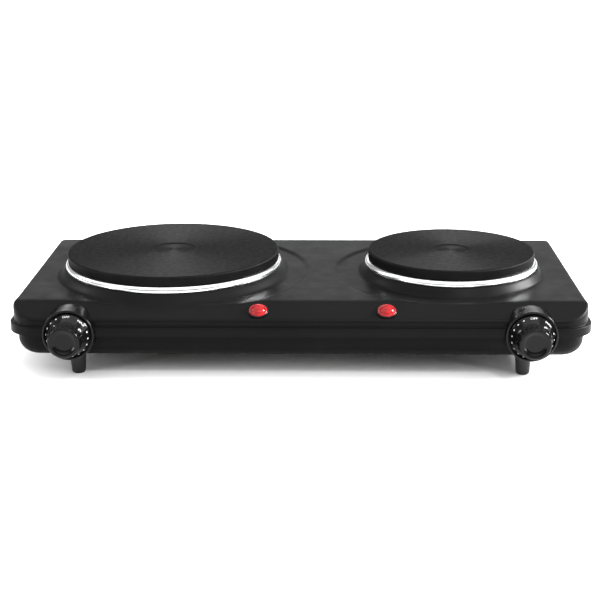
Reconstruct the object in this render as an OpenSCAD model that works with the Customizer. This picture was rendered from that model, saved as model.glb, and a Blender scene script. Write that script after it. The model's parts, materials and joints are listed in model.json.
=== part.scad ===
// Double countertop hot plate: a pressed steel casing with a sloping control strip, two cast iron
// plates on chromed trim rings, and a thermostat with a dial knob for each plate.
// Millimetres, +Z up. The origin is on the table under the middle of the object's box, and the
// controls face -Y.

/* [Casing] */
// Width of the deck
body_w = 470; // [440:1:570]
// Depth of the deck, front face to back face
body_d = 223; // [218:1:275]
// Height of the deck above the table
deck_h = 60; // [58:1:75]
// Height of the feet, which is also the height of the pan's underside
foot_h = 17; // [12:0.5:17]
// Sheet thickness of the top housing
housing_t = 0.8; // [0.6:0.1:1.2]
// Sheet thickness of the base pan
pan_t = 0.8; // [0.6:0.1:1.2]
// Plan radius of the two front corners
front_corner_r = 23; // [20:0.5:26]
// Plan radius of the two back corners
back_corner_r = 6; // [6:0.5:12]
// Radius of the deck's pressed edges
edge_r = 4; // [3:0.5:4.5]

/* [Control strip] */
// Depth of the sloping strip, crease to front face
strip_run = 22; // [18:0.5:26]
// Drop of the strip from the crease to the front face
strip_drop = 9.5; // [7:0.5:11]
// Radius of the strip's front edge
strip_edge_r = 3; // [2:0.5:4]

/* [Flange] */
// How far the flange stands out from the casing
flange_w = 3; // [2:0.5:5]
// Height of the flange's outer band
flange_h = 7.5; // [6:0.5:10]
// Drop from the deck to the top of the flange
flange_drop = 15.5; // [14:0.5:18]

/* [Plates] */
// Diameter of the large plate
large_plate_d = 185; // [150:1:190]
// Diameter of the small plate
small_plate_d = 145; // [120:1:170]
// From the left side of the deck to the middle of the large plate
large_plate_side = 122; // [120:1:130]
// From the right side of the deck to the middle of the small plate
small_plate_side = 104; // [100:1:112]
// From the back face to the middle of both plates
plate_back = 107; // [106:1:120]
// Height of the plates' cooking face above the deck
plate_rise = 19.3; // [18:0.1:24]
// Thickness of a plate's rim
plate_rim_h = 8.2; // [7:0.1:9]
// Thickness of a plate's web, cooking face to the recess that holds its coil
plate_web = 6; // [5:0.1:9]
// Diameter of the dimple in the middle of the large plate
large_dimple_d = 40; // [30:1:50]
// Diameter of the dimple in the middle of the small plate
small_dimple_d = 33; // [24:1:40]
// Depth of the dimples
dimple_deep = 0.8; // [0.5:0.1:1.2]

/* [Trim rings and collars] */
// How far the large trim ring stands out past its plate
large_ring_out = 2.2; // [1.2:0.1:4]
// How far the small trim ring stands out past its plate
small_ring_out = 3; // [1.2:0.1:4]
// Sheet thickness of the trim rings
ring_t = 0.8; // [0.6:0.1:1]
// Height of the collars above the floor of the dishes
collar_h = 7.6; // [6:0.2:9]
// How far a collar spreads from its top to the floor of its dish
collar_spread = 5.2; // [4:0.2:6]
// Depth of the dishes pressed into the deck
dish_deep = 1.5; // [1:0.1:2]
// Width of the large dish outside its plate
large_dish_w = 27; // [15:1:28]
// Width of the small dish outside its plate
small_dish_w = 30; // [15:1:30]

/* [Knobs] */
// From the side of the deck to the knob's axis
knob_side = 49; // [46:1:60]
// How far the knob's face stands in front of the casing
knob_reach = 25.5; // [22:0.5:32]
// Radius of the bezel around a knob
bezel_r = 21; // [19:0.5:21]
// How far the bezel stands in front of the casing
bezel_reach = 6.5; // [5:0.5:8]
// Radius of the knob's grip at its face
grip_r = 12.8; // [11:0.1:13.5]
// Radius of the thermostat's spindle
spindle_r = 3; // [2.5:0.1:3.5]
// Radial clearance of the spindle in its bush
spindle_gap = 0.05; // [0.02:0.01:0.08]
// Travel of the thermostat's adjusting pin over the knob's full turn
pin_travel = 1.6; // [1:0.1:2]

/* [Indicators] */
// From the middle of the deck to the midpoint of the two lamps, to the right
lamp_mid = 18.5; // [0:0.5:30]
// Distance between the two lamps
lamp_span = 104; // [80:1:140]
// Radius of an indicator's bezel
lamp_bezel_r = 8.3; // [7.5:0.1:8.6]
// Radius of an indicator's lens
lens_r = 7.5; // [6.8:0.1:7.5]

/* [Feet] */
// From the side of the deck to a foot's axis
foot_side = 52; // [48:1:70]
// From the front face to a front foot's axis
foot_front = 16.5; // [16.5:0.5:17]
// From the back face to a rear foot's axis
foot_back = 24; // [22:1:40]
// Radius of a foot at its top
foot_top_r = 6.6; // [6:0.1:8]
// Radius of a foot at its base
foot_base_r = 5.6; // [5.4:0.1:6]

/* [Hidden] */
$fn = 96;

// Small gap between pieces that sit against each other, and a cut's overshoot past a face
gap = 0.2;
over = 1;

// Casing: its faces, levels and control strip
box_d = body_d + flange_w + knob_reach;
front_y = -box_d/2 + knob_reach;
back_y = box_d/2 - flange_w;
half_w = body_w/2;
crease_y = front_y + strip_run;
strip_a = atan(strip_drop/strip_run);
flange_top = deck_h - flange_drop;
flange_low = flange_top - flange_h;
pan_inset = 3;
pan_corner_r = 20;
pan_edge_r = 13;
pan_top = flange_top - housing_t - 1;
floor_z = foot_h + pan_t;

// Plates and what carries them
plate_y = back_y - plate_back;
plate_top = deck_h + plate_rise;
rim_low = plate_top - plate_rim_h;
web_z = plate_top - plate_web;
dish_z = deck_h - dish_deep;
collar_top = dish_z + collar_h;
plate_low = collar_top - housing_t - 3.5;
cover_t = 1;
strap_t = 2;
strap_w = 22;
strap_top = dish_z - housing_t;
stud_r = 3;
nut_h = 5;
nut_flats = 10;
// Each burner: [plate radius, middle x, ring reach, dish width, dimple radius]
LARGE = [large_plate_d/2, -half_w + large_plate_side, large_ring_out, large_dish_w, large_dimple_d/2];
SMALL = [small_plate_d/2, half_w - small_plate_side, small_ring_out, small_dish_w, small_dimple_d/2];
BURNERS = [LARGE, SMALL];

// Knob line: everything between the knob's face and the thermostat, as y places
knob_x = half_w - knob_side;
knob_z = deck_h - bezel_r;
face_y = front_y - knob_reach;
bezel_front = front_y - bezel_reach;
bezel_back = front_y + 12;
bezel_wall = 1.8;
skirt_gap = 0.8;
skirt_r = bezel_r - bezel_wall - skirt_gap;
disc_front = bezel_front + 2.2;
disc_t = 2;
knob_back = disc_front - 0.6;
bracket_y = front_y + 21;
bracket_t = 1.2;
bracket_w = 34;
bracket_h = 34;
thermo_y = bracket_y + bracket_t;
thermo_w = 30;
thermo_d = 24;
thermo_h = 22;
bush_r = 4.8;
bush_front = front_y + 12;
bush_back = thermo_y + 8;
bush_flange_r = 6.5;
bush_flange_t = 2;
spindle_front = face_y + 7;
spindle_back = bush_back + 1;
flat_z = 1.6;
clip_t = 0.5;
pin_r = 1.5;
pin_front = spindle_back + 0.3;
pin_len = 7;
blade_gap = 0.4;

// Indicators: lamps stand square to the strip
lamp_back = 12.2;
lamp_y = crease_y - lamp_back;
lamp_stem = 10;
lamp_stem_r = 6;
lamp_bezel_wall = 1;
lens_seat = 0.6;
lamp_z = deck_h - lamp_back*tan(strip_a);

// Fasteners and feet
screw_r = 1.9;
screw_head_r = 3.6;
screw_head_h = 2;
post_r = 4;
post_side = 23;
post_front = 40;
post_back = 26;
foot_recess_r = 3.1;
foot_head_r = 2.9;
foot_recess_h = 6;
foot_bevel = 1.2;
FEET = [
    [-half_w + foot_side, front_y + foot_front], [half_w - foot_side, front_y + foot_front],
    [-half_w + foot_side, back_y - foot_back], [half_w - foot_side, back_y - foot_back]
];
POSTS = [for (s = [-1, 1], y = [front_y + post_front, back_y - post_back])
    [s*(half_w - post_side), y]];

// Cord inlet, mains terminals and wiring
gland_x = half_w - 110;
gland_z = floor_z + 13;
gland_r = 4.9;
gland_bore_r = 3.7;
gland_lip = 1.3;
gland_lip_t = 2;
gland_seat = 1.4;
block_x = gland_x - 40;
block_w = 34;
block_d = 18;
block_h = 16;
block_y = back_y - 42;
wire_r = 1.3;

// ---- Plan shapes ----------------------------------------------------------------------------

// Plan of the casing grown by grow, from squares and four corner circles
module plan(grow, front_r, back_r) {
    x = half_w + grow;
    y0 = front_y - grow;
    y1 = back_y + grow;
    fr = front_r + grow;
    br = back_r + grow;
    translate([-x, y0 + fr]) square([2*x, y1 - br - y0 - fr]);
    translate([-x + fr, y0]) square([2*(x - fr), fr]);
    translate([-x + br, y1 - br]) square([2*(x - br), br]);
    for (s = [-1, 1]) {
        translate([s*(x - fr), y0 + fr]) circle(fr);
        translate([s*(x - br), y1 - br]) circle(br);
    }
}

// Quarter of a disc, the section of a rounded edge
module quarter(r) {
    intersection() {
        circle(r);
        square(r);
    }
}

// Casing-shaped block from z = 0 to z = h with its top edge rounded by e
module soft_block(grow, front_r, back_r, h, e) {
    x = half_w + grow;
    y0 = front_y - grow;
    y1 = back_y + grow;
    fr = front_r + grow;
    br = back_r + grow;
    linear_extrude(h - e) plan(grow, front_r, back_r);
    translate([0, 0, h - e]) linear_extrude(e) plan(grow - e, front_r, back_r);
    for (s = [0, 1]) mirror([s, 0, 0]) {
        translate([x - e, y1 - br, h - e])
            rotate([90, 0, 0]) linear_extrude(y1 - br - y0 - fr) quarter(e);
        translate([x - fr, y0 + fr, h - e])
            rotate([0, 0, -90]) rotate_extrude(angle = 90) translate([fr - e, 0]) quarter(e);
        translate([x - br, y1 - br, h - e])
            rotate_extrude(angle = 90) translate([br - e, 0]) quarter(e);
    }
    translate([-(x - br), y1 - e, h - e])
        rotate([90, 0, 90]) linear_extrude(2*(x - br)) quarter(e);
    translate([-(x - fr), y0 + e, h - e])
        mirror([0, 1, 0]) rotate([90, 0, 90]) linear_extrude(2*(x - fr)) quarter(e);
}

// Height of the strip's surface grown by g, at a given y
function strip_z(y, g) = deck_h + (g + sin(strip_a)*(y - crease_y))/cos(strip_a);

// Space under the strip's plane and its front edge, grown by g and run along X
module under_strip(g) {
    r = strip_edge_r + g;
    y0 = front_y - g;
    cz = strip_z(y0, g) - r*tan((90 - strip_a)/2);
    clear = 20;
    high_y = crease_y + clear/tan(strip_a);
    translate([-body_w, 0, 0]) rotate([90, 0, 90]) linear_extrude(2*body_w) polygon(concat(
        [[y0 - clear, cz], [y0 - clear, -over], [back_y + clear, -over],
            [back_y + clear, strip_z(high_y, g)], [high_y, strip_z(high_y, g)]],
        arc(y0 + r, cz, r, 90 + strip_a, 180, 8)
    ));
}

// Outer or inner form of the top housing, without dishes and collars
module housing_form(g) {
    intersection() {
        soft_block(g, front_corner_r, back_corner_r, deck_h + g, edge_r + g);
        under_strip(g);
    }
}

// ---- Helpers --------------------------------------------------------------------------------

// Points on an arc from angle a0 to a1
function arc(cx, cy, r, a0, a1, n) =
    [for (i = [0:n]) [cx + r*cos(a0 + (a1 - a0)*i/n), cy + r*sin(a0 + (a1 - a0)*i/n)]];

// Cylinder along Y from y0 to y1
module y_rod(r, y0, y1) {
    translate([0, y1, 0]) rotate([90, 0, 0]) cylinder(r = r, h = y1 - y0);
}

// Hexagonal nut with its bore, standing on z = 0
module nut(flats, h, bore_r) {
    difference() {
        cylinder(r = flats/sqrt(3), h = h, $fn = 6);
        translate([0, 0, -over]) cylinder(r = bore_r, h = h + 2*over);
    }
}

// Screw pointing up, with its head under z = 0
module screw(len) {
    translate([0, 0, -screw_head_h]) cylinder(r = screw_head_r, h = screw_head_h);
    cylinder(r = screw_r, h = len);
}

// Places a knob-line piece on the left (s = -1) or right (s = 1) knob axis
module on_knob_axis(s) {
    translate([s*knob_x, 0, knob_z]) children();
}

// Places a piece on a lamp's axis, with z = 0 on the strip's surface
module on_lamp_axis(s) {
    translate([lamp_mid + s*lamp_span/2, lamp_y, lamp_z]) rotate([strip_a, 0, 0]) children();
}

// Radius of a collar's outer face at a height
function collar_r(b, z) = b[0] + b[2] + gap + (collar_top - z)*collar_spread/collar_h;

// ---- Casing ---------------------------------------------------------------------------------

// Dish of a burner as a solid, from its floor up, grown by g
module dish(b, g) {
    limit = half_w - edge_r - 1 + g;
    intersection() {
        translate([b[1], plate_y, dish_z - g])
            cylinder(r1 = b[0] + b[3] - 1.5 + g, r2 = b[0] + b[3] + g, h = dish_deep + g);
        translate([-limit, front_y, 0])
            cube([2*limit, back_y - edge_r - 1 + g - front_y, deck_h + over]);
    }
}

// Collar of a burner as a solid cone, shrunk by g
module collar(b, g) {
    foot_z = dish_z - collar_h;
    thick = g*sqrt(1 + pow(collar_spread/collar_h, 2));
    translate([b[1], plate_y, foot_z])
        cylinder(r1 = collar_r(b, foot_z) - thick, r2 = collar_r(b, collar_top - g) - thick,
            h = collar_top - g - foot_z);
}

// Opening in a collar's top that the underside of a plate drops into
function opening_r(b) = b[0] - 5;

module top_housing() {
    color("#2b2b2d") {
        difference() {
            union() {
                difference() {
                    intersection() {
                        housing_form(0);
                        translate([-body_w, -body_d, flange_top - housing_t])
                            cube([2*body_w, 2*body_d, deck_h]);
                    }
                    for (b = BURNERS) dish(b, 0);
                }
                for (b = BURNERS) collar(b, 0);
            }
            difference() {
                housing_form(-housing_t);
                for (b = BURNERS) dish(b, housing_t);
            }
            for (b = BURNERS) {
                collar(b, housing_t);
                translate([b[1], plate_y, 0]) cylinder(r = opening_r(b), h = plate_top);
            }
            knob_openings();
            for (s = [-1, 1]) on_lamp_axis(s)
                translate([0, 0, -lamp_stem]) cylinder(r = lamp_stem_r + gap, h = 2*lamp_stem);
        }
        difference() {
            translate([0, 0, flange_low])
                soft_block(flange_w, front_corner_r, back_corner_r, flange_h, 1.5);
            translate([0, 0, flange_low - over]) linear_extrude(flange_h - housing_t + over)
                plan(flange_w - housing_t, front_corner_r, back_corner_r);
            translate([0, 0, flange_low - over]) linear_extrude(flange_h + 2*over)
                plan(-housing_t, front_corner_r, back_corner_r);
            knob_openings();
        }
    }
}

// Round openings in the casing's front that the knob bezels sit in
module knob_openings() {
    for (s = [-1, 1]) on_knob_axis(s)
        y_rod(bezel_r + gap, front_y - flange_w - over, bezel_back + gap);
}

// Ventilation slots and the holes for screws in the pan's floor
module pan_holes() {
    for (b = BURNERS, i = [-4:4])
        translate([b[1] + i*12, plate_y, foot_h - over]) linear_extrude(pan_t + 2*over) {
            square([4, 60], center = true);
            for (e = [-1, 1]) translate([0, e*30]) circle(2);
        }
    for (p = concat(FEET, POSTS, bracket_screw_places()))
        translate([p[0], p[1], foot_h - over]) cylinder(r = screw_r + gap, h = pan_t + 2*over);
}

module base_pan() {
    h = pan_top - foot_h;
    color("#1d1d1f") difference() {
        translate([0, 0, pan_top]) mirror([0, 0, 1]) difference() {
            soft_block(-pan_inset, pan_corner_r + pan_inset, pan_corner_r + pan_inset, h, pan_edge_r);
            translate([0, 0, -over]) soft_block(-pan_inset - pan_t, pan_corner_r + pan_inset,
                pan_corner_r + pan_inset, h - pan_t + over, pan_edge_r - pan_t);
        }
        knob_openings();
        pan_holes();
        translate([gland_x, 0, gland_z]) y_rod(gland_r + gap, back_y - 2*pan_inset, back_y + over);
    }
}

// Posts that hang from the deck and take the base screws
module base_posts() {
    color("#9a9a9c") for (p = POSTS) translate([p[0], p[1], floor_z]) difference() {
        cylinder(r = post_r, h = deck_h - housing_t - floor_z);
        translate([0, 0, -over]) cylinder(r = screw_r, h = 12 + over);
    }
}

module base_screws() {
    color("#8b8b8d") for (p = POSTS) translate([p[0], p[1], foot_h]) screw(10);
}

// ---- Burners --------------------------------------------------------------------------------

// Cast plate: rim, underside ring and centre boss in one casting
module cast_plate(b) {
    r = b[0];
    dimple_r = b[4];
    edge = 1.6;
    ring_r = opening_r(b) - 1;
    wall = 5;
    color("#3a3a3c") translate([b[1], plate_y, 0]) difference() {
        rotate_extrude() polygon(concat(
            [[0, plate_top - dimple_deep], [dimple_r - 3, plate_top - dimple_deep],
                [dimple_r, plate_top]],
            arc(r - edge, plate_top - edge, edge, 90, 0, 8),
            [[r, rim_low + 0.8], [r - 0.8, rim_low], [ring_r, rim_low], [ring_r, plate_low],
                [ring_r - wall, plate_low], [ring_r - wall, web_z], [12, web_z],
                [12, plate_low + 2], [0, plate_low + 2]]
        ));
        translate([0, 0, plate_low]) cylinder(r = stud_r, h = 9);
    }
}

// Trim ring: a rounded band between the collar and the plate's rim, with a foot turned inwards
module trim_ring(b) {
    out_r = b[0] + b[2];
    top_r = b[0] - 0.6;
    low = collar_top;
    high = rim_low - 0.1;
    shoulder = high - low - 1;
    n = 10;
    outer = [for (i = [0:n]) [top_r + (out_r - top_r)*sin(90*i/n), high - shoulder*(1 - cos(90*i/n))]];
    inner = [for (i = [n:-1:0]) outer[i] - [ring_t*sin(90*(i + 1)/(n + 1)), ring_t*cos(90*i/n)]];
    color("#d5d7da") translate([b[1], plate_y, 0]) rotate_extrude() polygon(concat(
        outer, [[out_r, low + 0.4], [out_r - 0.4, low], [opening_r(b) + 1, low],
            [opening_r(b) + 1, low + ring_t], [out_r - ring_t, low + ring_t]],
        inner, [[opening_r(b), high - ring_t], [opening_r(b), high]]
    ));
}

coil_r = 2;
coil_z = web_z - 3;
terminal_top = plate_low - 3.5;

// Radii of the coil's turns under a plate
function turns(b) = [for (f = [0.35, 0.55, 0.75]) (opening_r(b) - 7)*f + 4];

// Heating coil: round turns joined by a straight lead
module heating_coil(b) {
    t = turns(b);
    color("#b08d57") translate([b[1], plate_y, coil_z]) {
        for (r = t) rotate_extrude() translate([r, 0]) circle(coil_r, $fn = 32);
        translate([t[0], 0, 0]) rotate([0, 90, 0]) cylinder(r = coil_r*0.6, h = t[2] - t[0], $fn = 32);
        for (i = [0, 2]) translate([0, t[i], terminal_top - coil_z])
            cylinder(r = 1, h = coil_z - terminal_top, $fn = 32);
    }
}

// Insulating fill under the coil, with grooves that hold its turns
module insulation(b) {
    t = turns(b);
    outer = opening_r(b) - 7 - gap;
    base = plate_low + cover_t;
    color("#c9c2b2") translate([b[1], plate_y, 0]) difference() {
        translate([0, 0, base]) cylinder(r = outer, h = coil_z - base + 1);
        translate([0, 0, base - over]) cylinder(r = 12 + gap, h = 20);
        translate([0, 0, coil_z]) {
            for (r = t) rotate_extrude() translate([r, 0]) circle(coil_r + gap, $fn = 32);
            translate([t[0], 0, 0]) rotate([0, 90, 0])
                cylinder(r = coil_r*0.6 + gap, h = t[2] - t[0], $fn = 32);
            for (i = [0, 2]) translate([0, t[i], -20]) cylinder(r = 1 + gap, h = 20, $fn = 32);
        }
    }
}

// Pressed cover that closes the underside of a plate
module bottom_cover(b) {
    t = turns(b);
    color("#a7a9ac") translate([b[1], plate_y, plate_low]) difference() {
        cylinder(r = opening_r(b) - 7 - gap, h = cover_t - 0.1);
        translate([0, 0, -over]) cylinder(r = stud_r + 1, h = 3*over + cover_t);
        for (i = [0, 2]) translate([0, t[i], -over]) cylinder(r = 1.6, h = 3*over + cover_t, $fn = 32);
    }
}

module centre_stud(b) {
    low = strap_top - strap_t - nut_h - 3;
    color("#8b8b8d") translate([b[1], plate_y, low]) cylinder(r = stud_r, h = plate_low + 8.8 - low);
}

// Strap across the underside of an opening, pulled up by the stud's nut
module strap(b) {
    len = 2*(b[0] + b[2] + 9);
    color("#a7a9ac") translate([b[1], plate_y, strap_top - strap_t]) difference() {
        union() {
            translate([-len/2, -strap_w/2, 0]) cube([len, strap_w, strap_t]);
            for (s = [-1, 1]) translate([-len/2 + 20, s*(strap_w/2 - 0.5) - 0.5, -4])
                cube([len - 40, 1, 4]);
        }
        translate([0, 0, -over]) cylinder(r = stud_r + gap, h = strap_t + 2*over);
    }
}

module strap_nuts() {
    color("#8b8b8d") for (b = BURNERS)
        translate([b[1], plate_y, strap_top - strap_t - nut_h]) nut(nut_flats, nut_h, stud_r);
}

// Ceramic block with two tabs on the coil's leads
module terminal_block(b) {
    t = turns(b);
    top = terminal_top;
    color("#e8e4da") translate([b[1], plate_y + (t[0] + t[2])/2, top - 8]) difference() {
        translate([-7, -(t[2] - t[0])/2 - 6, 0]) cube([14, t[2] - t[0] + 12, 8]);
        for (s = [-1, 1]) translate([-8, s*(t[2] - t[0])/2 - 2, 2]) cube([8, 4, 3]);
    }
}

// ---- Knob line ------------------------------------------------------------------------------

// Dial knob: a conical skirt for the scale and a fluted grip with a dished face
module knob(s) {
    flutes = 18;
    neck_r = grip_r + 1.2;
    neck_y = face_y + 9;
    color("#161617") on_knob_axis(s) difference() {
        translate([0, knob_back, 0]) rotate([90, 0, 0]) rotate_extrude() polygon(concat(
            [[0, 0], [skirt_r, 0], [skirt_r, 1.6]],
            [[skirt_r - 0.6, 2.6], [neck_r + 0.4, knob_back - neck_y]],
            [[neck_r, knob_back - neck_y + 0.4]],
            arc(grip_r - 1.4, knob_back - face_y - 1.4, 1.4, 0, 90, 6),
            arc(grip_r - 3.2, knob_back - face_y - 0.6, 0.6, 90, 180, 3),
            [[grip_r - 5, knob_back - face_y - 1.6], [0, knob_back - face_y - 1.9]]
        ));
        for (i = [0:flutes - 1]) rotate([0, i*360/flutes, 0])
            translate([neck_r + 1.2, 0, 0]) y_rod(1.7, face_y + 2, neck_y);
        difference() {
            y_rod(spindle_r + 0.05, spindle_front - 0.3, knob_back + over);
            translate([-spindle_r - 1, spindle_front - over, flat_z + clip_t + 0.05])
                cube([2*spindle_r + 2, knob_back - spindle_front + 3*over, spindle_r]);
        }
    }
}

// Leaf spring that wedges the spindle's flat in the knob
module knob_clip(s) {
    len = 11;
    color("#b9bbbe") on_knob_axis(s)
        translate([-1.8, spindle_front + 0.5, flat_z]) cube([3.6, len, clip_t]);
}

module spindle(s) {
    color("#c8a75a") on_knob_axis(s) difference() {
        y_rod(spindle_r, spindle_front, spindle_back);
        translate([-spindle_r - 1, spindle_front - over, flat_z])
            cube([2*spindle_r + 2, 14 + over, spindle_r]);
    }
}

// Round bezel that closes the casing's front around a knob
module knob_bezel(s) {
    color("#1a1a1b") on_knob_axis(s) difference() {
        y_rod(bezel_r, bezel_front, bezel_back);
        y_rod(skirt_r + skirt_gap, bezel_front - over, disc_front);
        y_rod(bezel_r - bezel_wall, disc_front + disc_t, bezel_back + over);
        y_rod(bush_r + 1, disc_front - over, disc_front + disc_t + over);
    }
}

module spindle_bush(s) {
    color("#c8a75a") on_knob_axis(s) difference() {
        union() {
            y_rod(bush_r, bush_front, bush_back);
            y_rod(bush_flange_r, thermo_y + gap, thermo_y + gap + bush_flange_t);
        }
        y_rod(spindle_r + spindle_gap, bush_front - over, bush_back + over);
    }
}

module bush_nut(s) {
    color("#8b8b8d") on_knob_axis(s)
        translate([0, bracket_y, 0]) rotate([90, 0, 0]) nut(14, 3, bush_r);
}

// Ceramic thermostat body with the chambers for the bush, the pin and the contact blade
module thermostat(s) {
    color("#e8e4da") on_knob_axis(s) difference() {
        translate([-thermo_w/2, thermo_y + gap, -thermo_h/2]) cube([thermo_w, thermo_d, thermo_h]);
        y_rod(bush_flange_r + gap, thermo_y, thermo_y + 2*gap + bush_flange_t);
        y_rod(bush_r + gap, thermo_y, bush_back + gap);
        y_rod(spindle_r + 1, thermo_y, pin_front + 0.5);
        y_rod(pin_r + 0.05, thermo_y, thermo_y + thermo_d - 5);
        translate([-thermo_w/2 - over, pin_front + pin_len - 1, -6])
            cube([thermo_w - 4, 8, 12]);
    }
}

// Pin that the turning spindle pushes towards the contact blade
module adjusting_pin(s) {
    color("#f2efe6") on_knob_axis(s) y_rod(pin_r, pin_front, pin_front + pin_len);
}

module contact_blade(s) {
    y0 = pin_front + pin_len + pin_travel + blade_gap;
    color("#b87333") on_knob_axis(s) {
        translate([-thermo_w/2 - 3, y0, -3]) cube([thermo_w - 3, 0.6, 6]);
        translate([4, y0 - 1.2, -2]) cube([4, 1.2, 4]);
    }
}

// Places of the two screws through each bracket's foot
function bracket_screw_places() =
    [for (s = [-1, 1], e = [-1, 1]) [s*knob_x + e*11, bracket_y + 32]];

// Bracket that carries the thermostat: an upright plate on two feet
module bracket(s) {
    foot_d = 37;
    color("#a7a9ac") difference() {
        union() {
            translate([s*knob_x - bracket_w/2, bracket_y, floor_z])
                cube([bracket_w, bracket_t, knob_z - floor_z + bracket_h/2 - 4]);
            translate([s*knob_x - bracket_w/2, bracket_y, floor_z])
                cube([bracket_w, foot_d, bracket_t]);
        }
        on_knob_axis(s) y_rod(bush_r + gap, bracket_y - over, thermo_y + over);
        for (p = bracket_screw_places())
            translate([p[0], p[1], floor_z - over]) cylinder(r = screw_r, h = bracket_t + 2*over);
    }
}

module bracket_screws() {
    color("#8b8b8d") for (p = bracket_screw_places())
        translate([p[0], p[1], foot_h]) screw(pan_t + bracket_t + 2);
}

// ---- Indicators -----------------------------------------------------------------------------

module lamp_bezel(s) {
    rim = 1.5;
    color("#161617") on_lamp_axis(s) difference() {
        union() {
            rotate_extrude() polygon(concat(
                [[0, 0], [lamp_bezel_r, 0], [lamp_bezel_r, rim - 0.6]],
                arc(lamp_bezel_r - 0.6, rim - 0.6, 0.6, 0, 90, 5), [[0, rim]]
            ));
            translate([0, 0, -lamp_stem]) cylinder(r = lamp_stem_r, h = lamp_stem + lens_seat/2);
        }
        translate([0, 0, -lamp_stem - over])
            cylinder(r = lamp_stem_r - lamp_bezel_wall, h = 2*lamp_stem);
        translate([0, 0, lens_seat]) cylinder(r = lens_r + 0.1, h = rim + over);
    }
}

// Lens: a flange that lies in the bezel's seat, a dome on it, and a hollow stem below it
module lens(s) {
    stem_r = lamp_stem_r - lamp_bezel_wall - 0.05;
    flange_z = lens_seat + 1.5;
    dome_r = lens_r - 1.9;
    dome_h = 2.6;
    color("#c01818") on_lamp_axis(s) difference() {
        rotate_extrude() polygon(concat(
            [[0, -5], [stem_r, -5], [stem_r, lens_seat], [lens_r, lens_seat]],
            arc(lens_r - 0.9, flange_z - 0.9, 0.9, 0, 90, 5),
            [[dome_r + 0.3, flange_z], [dome_r, flange_z - 0.3]],
            [for (k = [0:10]) let (t = k*9) [dome_r*cos(t), flange_z - 0.3 + (dome_h + 0.3)*sin(t)]]
        ));
        translate([0, 0, -5 - over]) cylinder(r = stem_r - 1.5, h = 6 + over);
    }
}

module neon_lamp(s) {
    color("#f0c9a0") on_lamp_axis(s) {
        translate([0, 0, -8]) cylinder(r = 2.2, h = 6.5);
        translate([0, 0, -1.5]) sphere(2.2);
        for (e = [-1, 1]) translate([e*1.1, 0, -16]) cylinder(r = 0.4, h = 8.5, $fn = 24);
    }
}

// ---- Feet -----------------------------------------------------------------------------------

module foot(p) {
    color("#1d1d1f") translate([p[0], p[1], 0]) difference() {
        rotate_extrude() polygon([
            [0, 0], [foot_base_r - foot_bevel, 0], [foot_base_r, foot_bevel],
            [foot_top_r, foot_h - 1], [foot_top_r, foot_h], [0, foot_h]
        ]);
        translate([0, 0, -over]) cylinder(r = foot_recess_r, h = foot_recess_h + over);
        cylinder(r = screw_r + gap, h = foot_h + over);
    }
}

module foot_screws() {
    color("#8b8b8d") for (p = FEET) translate([p[0], p[1], foot_recess_h]) {
        translate([0, 0, -screw_head_h]) cylinder(r = foot_head_r, h = screw_head_h);
        cylinder(r = screw_r, h = foot_h - foot_recess_h + pan_t + 2);
    }
}

// ---- Mains inlet and wiring -----------------------------------------------------------------

// Bushing in the pan's back wall that the mains cord passes through
module cord_gland() {
    y1 = back_y - pan_inset;
    color("#161617") translate([gland_x, 0, gland_z]) difference() {
        union() {
            y_rod(gland_r, y1 - pan_t - 6, y1);
            y_rod(gland_r + gland_lip, y1, y1 + gland_lip_t);
            y_rod(gland_r + gland_lip, y1 - pan_t - gland_seat - 2, y1 - pan_t - gland_seat);
        }
        y_rod(gland_bore_r, y1 - pan_t - 6 - over, y1 + gland_lip_t + over);
    }
}

module mains_terminal_block() {
    color("#e4e1d8") translate([block_x, block_y, floor_z]) difference() {
        translate([-block_w/2, -block_d/2, 0]) cube([block_w, block_d, block_h]);
        for (i = [-1:1]) {
            translate([i*10, 0, block_h - 6]) y_rod(2, -block_d/2 - over, block_d/2 + over);
            translate([i*10, 0, block_h - 6]) cylinder(r = 2.2, h = 6 + over);
        }
    }
}

module earth_screw() {
    color("#c8a75a") translate([block_x + block_w/2 + 14, block_y, floor_z]) {
        cylinder(r = 3.6, h = 2);
        translate([0, 0, 2]) cylinder(r = 2, h = 4);
    }
}

// Heading at the i-th point of a list, and a point on the smooth curve after it
function heading(p, i) = let (d = p[min(i + 1, len(p) - 1)] - p[max(i - 1, 0)]) d/norm(d);
function blend(p, i, t) = let (a = p[i], b = p[i + 1], long = norm(b - a))
    (2*t*t*t - 3*t*t + 1)*a + (t*t*t - 2*t*t + t)*long*heading(p, i)
    + (3*t*t - 2*t*t*t)*b + (t*t*t - t*t)*long*heading(p, i + 1);

// Rings per stretch between two points of a wire, and sides of its tube
wire_steps = 4;
wire_sides = 8;

// Tube swept along a smooth curve through the given points
module wire(points, r) {
    last = len(points) - 1;
    path = concat([for (i = [0:last - 1], k = [0:wire_steps - 1]) blend(points, i, k/wire_steps)],
        [points[last]]);
    n = len(path) - 1;
    rings = [for (i = [0:n])
        let (d = path[min(i + 1, n)] - path[max(i - 1, 0)],
            f = d/norm(d),
            side = cross(f, [0.03, 0.02, 1]),
            u = side/norm(side),
            v = cross(u, f))
        for (k = [0:wire_sides - 1])
            path[i] + r*(cos(k*360/wire_sides)*u + sin(k*360/wire_sides)*v)];
    faces = concat(
        [[for (k = [0:wire_sides - 1]) k]],
        [for (i = [0:n - 1], k = [0:wire_sides - 1])
            let (a = i*wire_sides, m = (k + 1) % wire_sides)
            [a + k, a + wire_sides + k, a + wire_sides + m, a + m]],
        [[for (k = [wire_sides - 1:-1:0]) n*wire_sides + k]]
    );
    polyhedron(rings, faces);
}

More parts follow.
